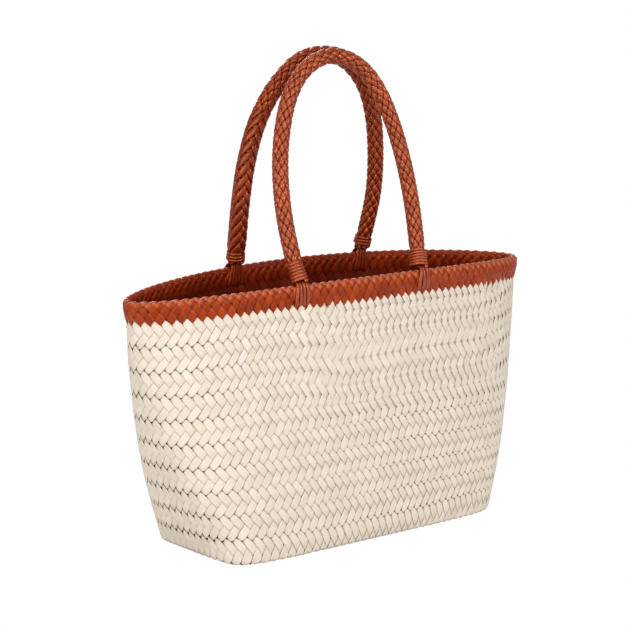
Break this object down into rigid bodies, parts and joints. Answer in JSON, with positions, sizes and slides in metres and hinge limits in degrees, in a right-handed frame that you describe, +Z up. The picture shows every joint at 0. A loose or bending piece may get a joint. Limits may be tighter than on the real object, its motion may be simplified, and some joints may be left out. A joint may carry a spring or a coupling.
{
  "type": "woven leather tote",
  "caption": "Open plaited leather basket tote with a flared oval mouth, a bound rim and two round braided carrying handles.",
  "frame": {"origin": "middle of the flat underside of the base", "axes": "+X along the length of the mouth, +Y from the front wall to the back wall, +Z up"},
  "size_m": [0.4198, 0.1246, 0.3995],
  "materials": {
    "cream_leather": "plaited strips of cream leather with a soft satin face",
    "tan_leather": "plaited strips and laces of red-brown tan leather with a waxed satin face"
  },
  "bodies": {
    "root": {"basket_body": "cream_leather", "rim_band": "tan_leather", "handle_front": "tan_leather", "handle_back": "tan_leather", "whipping_front_left": "tan_leather", "whipping_front_right": "tan_leather", "whipping_back_left": "tan_leather", "whipping_back_right": "tan_leather", "lashing_front_left": "tan_leather", "lashing_front_right": "tan_leather", "lashing_back_left": "tan_leather", "lashing_back_right": "tan_leather"}
  },
  "joints": []
}
